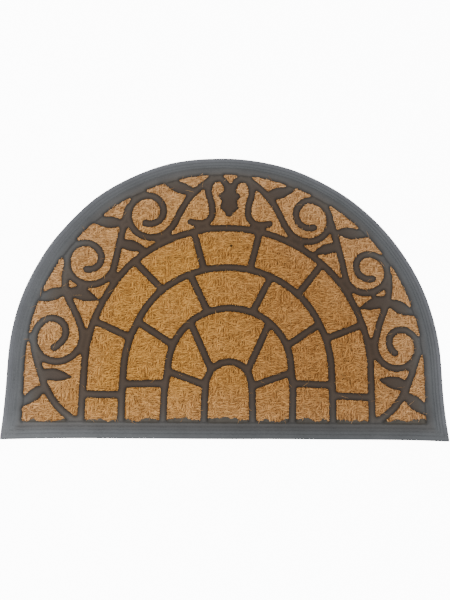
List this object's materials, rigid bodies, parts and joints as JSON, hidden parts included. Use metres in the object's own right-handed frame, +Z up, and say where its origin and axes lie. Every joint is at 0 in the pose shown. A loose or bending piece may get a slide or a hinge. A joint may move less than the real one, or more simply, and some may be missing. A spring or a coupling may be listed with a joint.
{
  "type": "half-round doormat",
  "caption": "Half-round doormat of moulded black rubber with a ribbed border, holding woven coir behind a raised tracery of arches, scrolls and leaves.",
  "frame": {"origin": "middle of the footprint's box, on the surface the mat lies on", "axes": "+X along the straight front edge, to the right seen from above with the round edge away; +Y from the straight edge towards the round edge; +Z up, out of the pattern"},
  "size_m": [0.605, 0.4, 0.009],
  "materials": {
    "moulded_rubber": "matt moulded recycled rubber, greyed on the border and brown-black on the tracery",
    "woven_coir": "coarse natural coconut fibre, golden brown, undyed"
  },
  "bodies": {
    "root": {"rubber_moulding": "moulded_rubber", "coir_sheet": "woven_coir"}
  },
  "joints": []
}
